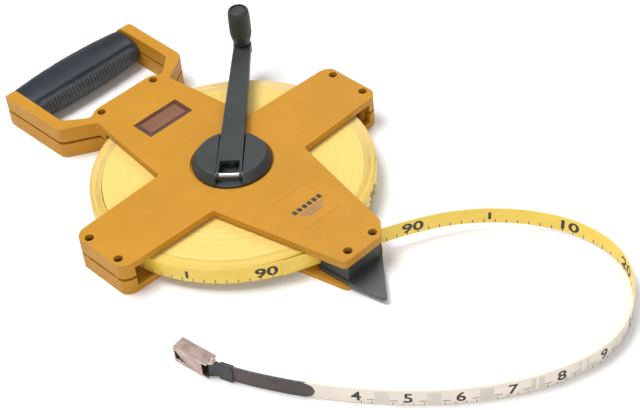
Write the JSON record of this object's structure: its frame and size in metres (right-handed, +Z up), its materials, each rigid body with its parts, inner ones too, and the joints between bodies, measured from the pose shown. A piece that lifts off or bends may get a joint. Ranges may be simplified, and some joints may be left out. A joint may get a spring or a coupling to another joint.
{
  "type": "surveyor tape reel",
  "caption": "Open-frame long tape reel: cross-shaped two-shell frame with a D handle and rubber grip, wound yellow tape, folding crank with a turning knob, and drawn-out tape with an end hook",
  "frame": {"origin": "on the flat underside of the lower shell, on the axis the reel turns about", "axes": "+X to the nose where the tape leaves, -X to the D handle, +Z up out of the face that carries the crank, +Y completes the right hand"},
  "size_m": [0.4898, 0.2559, 0.0659],
  "materials": {
    "orange_shell": "moulded orange plastic with a fine grain",
    "charcoal_plastic": "dark grey moulded plastic",
    "grip_rubber": "soft blue-black rubber, ribbed",
    "tape_coating": "yellow coated glass-fibre tape, white on its other face",
    "bright_steel": "plain bright steel",
    "dark_screw": "blackened screws deep in their holes",
    "spike_steel": "dark grey coated steel plate",
    "label_foil": "red-brown inset plate",
    "bush_plastic": "off-white acetal bushes",
    "claw_steel": "folded bright sheet steel with a warm tint"
  },
  "bodies": {
    "frame": {"upper_frame": "orange_shell", "lower_frame": "orange_shell", "side_screw_1": "dark_screw", "side_screw_2": "dark_screw", "side_screw_3": "dark_screw", "side_screw_4": "dark_screw", "nose_screw_1": "dark_screw", "nose_screw_2": "dark_screw", "handle_screw_1": "dark_screw", "handle_screw_2": "dark_screw", "label_plate": "label_foil", "ground_spike": "spike_steel", "tape_guide": "charcoal_plastic", "grip_core": "charcoal_plastic", "grip_sleeve": "grip_rubber", "upper_bush": "bush_plastic", "lower_bush": "bush_plastic", "free_tape": "tape_coating", "tape_end_strip": "grip_rubber", "hook_clamp": "charcoal_plastic", "hook_pin": "bright_steel"},
    "reel": {"spool": "charcoal_plastic", "tape_anchor": "bright_steel", "wound_tape": "tape_coating", "outer_wraps": "tape_coating", "crank_disc": "charcoal_plastic", "hinge_pin": "bright_steel", "hub_washer": "bright_steel", "hub_screw": "bright_steel"},
    "crank": {"crank_arm": "charcoal_plastic", "knob_spindle": "bright_steel"},
    "knob": {"knob": "charcoal_plastic", "knob_cap": "charcoal_plastic"},
    "hook": {"end_hook": "claw_steel"}
  },
  "joints": [
    {"name": "reel_spin", "type": "hinge", "parent": "frame", "child": "reel", "pos_m": [0, 0, 0.013], "axis": [0, 0, 1], "continuous": true},
    {"name": "crank_fold", "type": "hinge", "parent": "reel", "child": "crank", "pos_m": [0.01379, -0.01448, 0.0306], "axis": [0.7242, 0.6896, 0], "range_deg": [0, 160]},
    {"name": "knob_spin", "type": "hinge", "parent": "crank", "child": "knob", "pos_m": [-0.08689, 0.09125, 0.05], "axis": [0, 0, 1], "continuous": true},
    {"name": "hook_swing", "type": "hinge", "parent": "frame", "child": "hook", "pos_m": [0.11788, -0.12748, 0.0065], "axis": [0, 0, 1], "range_deg": [-75, 75]}
  ]
}
